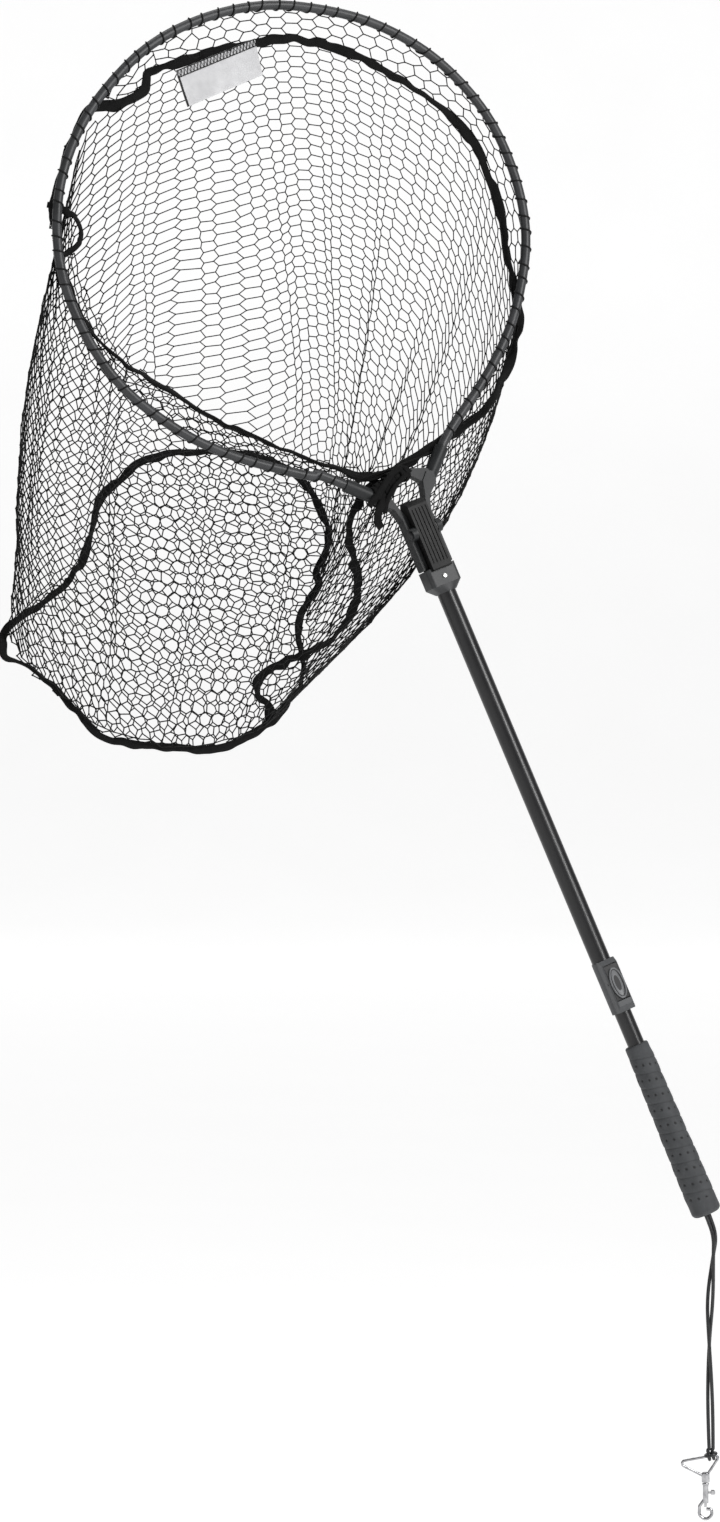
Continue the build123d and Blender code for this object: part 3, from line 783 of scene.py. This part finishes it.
def make_panel():
    pitch, row = 15.0, 6.6
    centre = np.array(PANEL_CENTRE)
    index, points = {}, []
    for i in range(-22, 23):
        for k in range(-46, 47):
            side = 1.0 if (i + k) % 2 == 0 else -1.0
            u, v = (i + 0.165 * side) * pitch, k * row
            bend = 7.0 * math.sin(u / 60.0) + 5.0 * math.sin(v / 75.0 + 1.0)
            x, z = u + 0.16 * v + 0.5 * bend, v - 0.10 * u + bend
            r = math.hypot(x, z)
            turn = math.degrees(math.atan2(x, z)) % 360.0
            edge = float(table(PANEL_RADII, np.array([turn / 10.0]))[0])
            if r > edge + 5.0:
                continue
            crumple = min(r / edge, 1.0)
            depth = 9.0 * (1 - crumple**2) + 3.0 * math.sin(x / 23.0) * math.sin(z / 31.0) * (1 - crumple)
            index[(i, k)] = len(points)
            pull = min(edge, r) / max(r, 1e-6)
            points.append((centre[0] + x * pull, BAG_DEPTH + 0.6 + depth, centre[1] + z * pull))
    points = np.array(points)
    points += rng.normal(0, 0.9, points.shape) * np.array((1.0, 0.6, 1.0))
    edges = []
    for (i, k), here in index.items():
        if (i, k + 1) in index:
            edges.append((here, index[(i, k + 1)]))
        if (i + k) % 2 == 0 and (i + 1, k) in index:
            edges.append((here, index[(i + 1, k)]))
    obj = strands("net_panel", points, np.array(edges), 0.74, NET)
    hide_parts("bottom_panel")


def make_band():
    """The rows of netting between the lacing on the hoop and the rim tape."""
    count = 92
    outer = hoop_line(800)
    inner = resample([(x, 8.6, z) for x, z in RIM_LINE], 900, True)
    centre = np.array((0.0, 0.0, 1095.0))

    def ray(line, turn):
        away = line - centre
        angle = np.arctan2(away[:, 0], away[:, 2])
        gap = np.abs((angle[:, None] - turn[None, :] + math.pi) % (2 * math.pi) - math.pi)
        return line[np.argmin(gap, axis=0)]

    rows = 6
    index, points = {}, []
    for i in range(count):
        for k in range(rows + 1):
            side = 1.0 if (i + k) % 2 == 0 else -1.0
            turn = (i + 0.17 * side) * 2 * math.pi / count
            index[(i, k)] = len(points)
            points.append((turn, k / rows))
    flat = np.array(points)
    a, b = ray(outer, flat[:, 0]), ray(inner, flat[:, 0])
    share = flat[:, 1][:, None]
    placed = a + (b - a) * share
    placed[:, 1] += 5.0 * (1 - flat[:, 1]) + 2.0 * np.sin(flat[:, 0] * 9) * flat[:, 1] * (1 - flat[:, 1])
    bunch = np.exp(-(((np.degrees(flat[:, 0]) - 300.0) / 55.0) ** 2)) * np.sin(math.pi * flat[:, 1])
    placed += rng.normal(0, 1.0, placed.shape) * (0.5 + 3.2 * bunch)[:, None]
    edges = []
    for (i, k), here in index.items():
        if k < rows:
            edges.append((here, index[(i, k + 1)]))
        if (i + k) % 2 == 0:
            edges.append((here, index[((i + 1) % count, k)]))
    obj = strands("net_rim_band", placed, np.array(edges), 0.68, NET)
    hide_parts("net_band")


make_wall()
make_panel()
make_band()


# ---- tapes ----
def lumpy_tape(name, line, half_w, half_t, seed, closed, *nodes, edge_on=()):
    path = resample(line, int(len(line) * 14), closed)
    n = len(path)
    lumps = max(12, n // 5)
    shift = np.stack([wander(n, a, lumps, closed, seed + k) for k, a in enumerate((0.9, 0.8, 0.9))], axis=1)
    path = path + shift
    wide = half_w * (1.0 + wander(n, 0.16, lumps, closed, seed + 4))
    thick = half_t * (1.0 + wander(n, 0.18, lumps, closed, seed + 5))
    roll = wander(n, 0.40, max(6, n // 16), closed, seed + 6)
    along = unit(np.gradient(path, axis=0))
    flat = unit(np.cross(along, np.array((0.0, 1.0, 0.0))))
    for centre, reach, twist in edge_on:
        near = np.linalg.norm(path[:, (0, 2)] - np.array(centre), axis=1) / reach
        roll = roll + twist * np.exp(-(near**4))
    lean = np.cos(roll)[:, None] * np.array((0.0, 1.0, 0.0)) + np.sin(roll)[:, None] * flat
    verts, faces = sweep(path, wide, thick, lean, 16, closed, 0.72)
    obj = add_mesh(name, world(verts), faces, TAPE)
    if nodes:
        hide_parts(*nodes)
    return obj


lumpy_tape("rim_binding", [(x, 9.2, z) for x, z in RIM_LINE], 5.6, 1.9, 11, True, "rim_tape",
           edge_on=[((245.0, 1010.0), 120.0, 1.25), ((-190.0, 975.0), 215.0, 1.2)])
PANEL_EDGE = [(x, BAG_DEPTH + 1.0, z) for x, z in PANEL_LINE]
lumpy_tape("panel_binding", PANEL_EDGE, 4.6, 1.9, 23, True, "bottom_tape")
lumpy_tape("side_binding", SIDE_LINE, 5.0, 1.9, 31, False, "side_tape")
RIM_LOOP = [
    (-268, 9, 1252), (-252, 7, 1238), (-243, 6, 1220),
    (-246, 7, 1204), (-259, 8, 1196), (-277, 9, 1192),
]
lumpy_tape("rim_loop", RIM_LOOP, 4.2, 1.7, 41, False)


# ---- binding on the crossbar's middle ----
def bar_height(x):
    return np.interp(x, [-44, -33, -24, -15, 0, 12], [807.0, 808.5, 812.0, 818.0, 821.3, 820.8])


def make_apex():
    parts = []
    for k in range(8):
        x = -37.0 + 6.3 * k
        turn = np.linspace(0, 2 * math.pi, 25)[:-1]
        tall = (10.8 if x < -20 else 8.0) + 0.9 * math.sin(2.1 * k)
        deep = 10.6 + 0.8 * math.cos(1.3 * k)
        tip = 2.2 * math.sin(1.7 * k) - 1.0
        middle = np.array((x, 0.6, float(bar_height(x))))
        ring = middle + np.stack((tip * np.sin(turn), deep * np.sin(turn), tall * np.cos(turn)), axis=1)
        ring = resample(ring + rng.normal(0, 0.4, ring.shape), 48, True)
        parts.append(sweep(ring, 3.6, 1.3, unit(ring - middle), 12, True, 0.8))
    tail = [(-30, -9, 802), (-38, -10, 796), (-45, -9, 789), (-49, -7, 780), (-47, -5, 772)]
    parts.append(sweep(resample(tail, 26), 4.6, 1.6, np.array((0.15, 1.0, 0.1)), 12, False, 0.75))
    second = [(4, -9, 826), (-6, -11, 827), (-18, -12, 821), (-30, -12, 813), (-42, -10, 806), (-52, -7, 800)]
    parts.append(sweep(resample(second, 30), 3.8, 1.7, np.array((0.1, 1.0, 0.2)), 12, False, 0.75))
    third = [(14, -8, 822), (2, -11, 817), (-12, -12, 811), (-24, -12, 803), (-32, -10, 795), (-36, -6, 786)]
    parts.append(sweep(resample(third, 30), 2.8, 1.5, np.array((0.1, 1.0, -0.1)), 12, False, 0.75))
    verts, faces = joined(parts)
    obj = add_mesh("apex_wraps", world(verts), faces, TAPE)
    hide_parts("apex_binding")


make_apex()


# ---- label ----
def label_place(u, v, lift=0.0):
    tl, tr, br, bl = (np.array(c) for c in LABEL_CORNERS)
    u, v = np.asarray(u, dtype=float)[..., None], np.asarray(v, dtype=float)[..., None]
    flat = (tl * (1 - u) + tr * u) * (1 - v) + (bl * (1 - u) + br * u) * v
    wave = 0.9 * np.sin(7.0 * u[..., 0] + 2.0 * v[..., 0]) * v[..., 0] - 1.2 * v[..., 0] ** 2
    return np.stack((flat[..., 0], LABEL_Y - 0.6 + wave - lift, flat[..., 1]), axis=-1)


def make_label():
    nu, nv = 56, 24
    u, v = np.meshgrid(np.linspace(0, 1, nu), np.linspace(0, 1, nv), indexing="ij")
    front = label_place(u, v, 0.0).reshape(-1, 3)
    back = label_place(u, v, -0.5).reshape(-1, 3)
    faces = []
    for i in range(nu - 1):
        for k in range(nv - 1):
            a, b, c, d = i * nv + k, (i + 1) * nv + k, (i + 1) * nv + k + 1, i * nv + k + 1
            faces.append((a, b, c, d))
            faces.append(tuple(nu * nv + j for j in (d, c, b, a)))
    rim = [i * nv for i in range(nu)] + [(nu - 1) * nv + k for k in range(1, nv)]
    rim += [i * nv + nv - 1 for i in range(nu - 2, -1, -1)] + list(range(nv - 2, 0, -1))
    for a, b in zip(rim, rim[1:] + rim[:1]):
        faces.append((b, a, a + nu * nv, b + nu * nv))
    obj = add_mesh("label_patch", world(np.vstack((front, back))), faces, LABEL)
    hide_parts("net_label")
    count = 24
    saw = []
    for k in range(count * 2 + 1):
        saw.append(label_place(k / (2 * count), 0.02 if k % 2 else 0.20, 0.75))
    rails = [label_place(np.linspace(0, 1, 60), np.full(60, edge), 0.7) for edge in (0.02, 0.20)]
    parts = [sweep(np.array(saw), 0.75, 0.5, np.array((0.0, 1.0, 0.0)), 6)]
    parts += [sweep(rail, 0.7, 0.5, np.array((0.0, 1.0, 0.0)), 6) for rail in rails]
    fold_line = label_place(np.full(30, 0.012), np.linspace(0.15, 1.0, 30), 0.35)
    parts.append(sweep(fold_line, 1.3, 0.5, np.array((0.0, 1.0, 0.0)), 8, False, 0.8))
    verts, faces = joined(parts)
    thread = add_mesh("label_stitching", world(verts), faces, THREAD)


make_label()


# ---- studio ----
# The other views stand well away from the net, so the paper runs past them on every side.
FLOOR_Z = -0.62
PAPER_REACH = 32.0
WALL_FOOT = 22.0
COVE_R = 4.0
PAPER_GLOW = 0.74


def make_stage():
    profile = [(-PAPER_REACH, FLOOR_Z), (WALL_FOOT, FLOOR_Z)]
    for k in range(1, 13):
        a = math.radians(90.0 * k / 12)
        profile.append((WALL_FOOT + COVE_R * math.sin(a), FLOOR_Z + COVE_R * (1 - math.cos(a))))
    profile.append((WALL_FOOT + COVE_R, PAPER_REACH))
    verts = [(x, y, z) for x in (-PAPER_REACH, PAPER_REACH) for y, z in profile]
    n = len(profile)
    faces = [(k, k + 1, n + k + 1, n + k) for k in range(n - 1)]
    mesh = bpy.data.meshes.new("studio_floor")
    mesh.from_pydata(verts, [], faces)
    mesh.polygons.foreach_set("use_smooth", [True] * len(mesh.polygons))
    paper = look(
        "studio_paper", (0.44, 0.44, 0.44), (0.46, 0.46, 0.46), (0.9, 1.0),
        2.0, 0.02, 40.0, 0.0004,
    )
    shader = paper.node_tree.nodes["Principled BSDF"]
    shader.inputs["Emission Color"].default_value = (1.0, 1.0, 1.0, 1.0)
    shader.inputs["Emission Strength"].default_value = PAPER_GLOW
    mesh.materials.append(paper)
    floor = bpy.data.objects.new("studio_floor", mesh)
    bpy.context.scene.collection.objects.link(floor)


def add_light(name, place, aim, size, power):
    data = bpy.data.lights.new(name, "AREA")
    data.shape = "RECTANGLE"
    data.size, data.size_y = size
    data.energy = power
    light = bpy.data.objects.new(name, data)
    bpy.context.scene.collection.objects.link(light)
    light.location = place
    away = unit(np.array(aim) - np.array(place))
    light.rotation_euler = (math.acos(-away[2]), 0.0, math.atan2(-away[0], away[1]))
    return light


def make_lights():
    sky = bpy.data.worlds.new("studio_sky")
    sky.use_nodes = True
    back = sky.node_tree.nodes["Background"]
    back.inputs["Color"].default_value = (1.0, 1.0, 1.0, 1.0)
    back.inputs["Strength"].default_value = 0.24
    bpy.context.scene.world = sky
    add_light("key", (2.9, -2.8, 2.4), (-0.1, 0.0, 0.4), (0.9, 2.6), 150.0)
    add_light("fill", (-3.4, -3.0, 1.8), (-0.2, 0.0, 0.4), (0.8, 2.4), 9.0)
    add_light("top", (-0.3, 0.6, 4.2), (-0.3, 0.4, 0.0), (3.0, 2.0), 50.0)


make_stage()
make_lights()
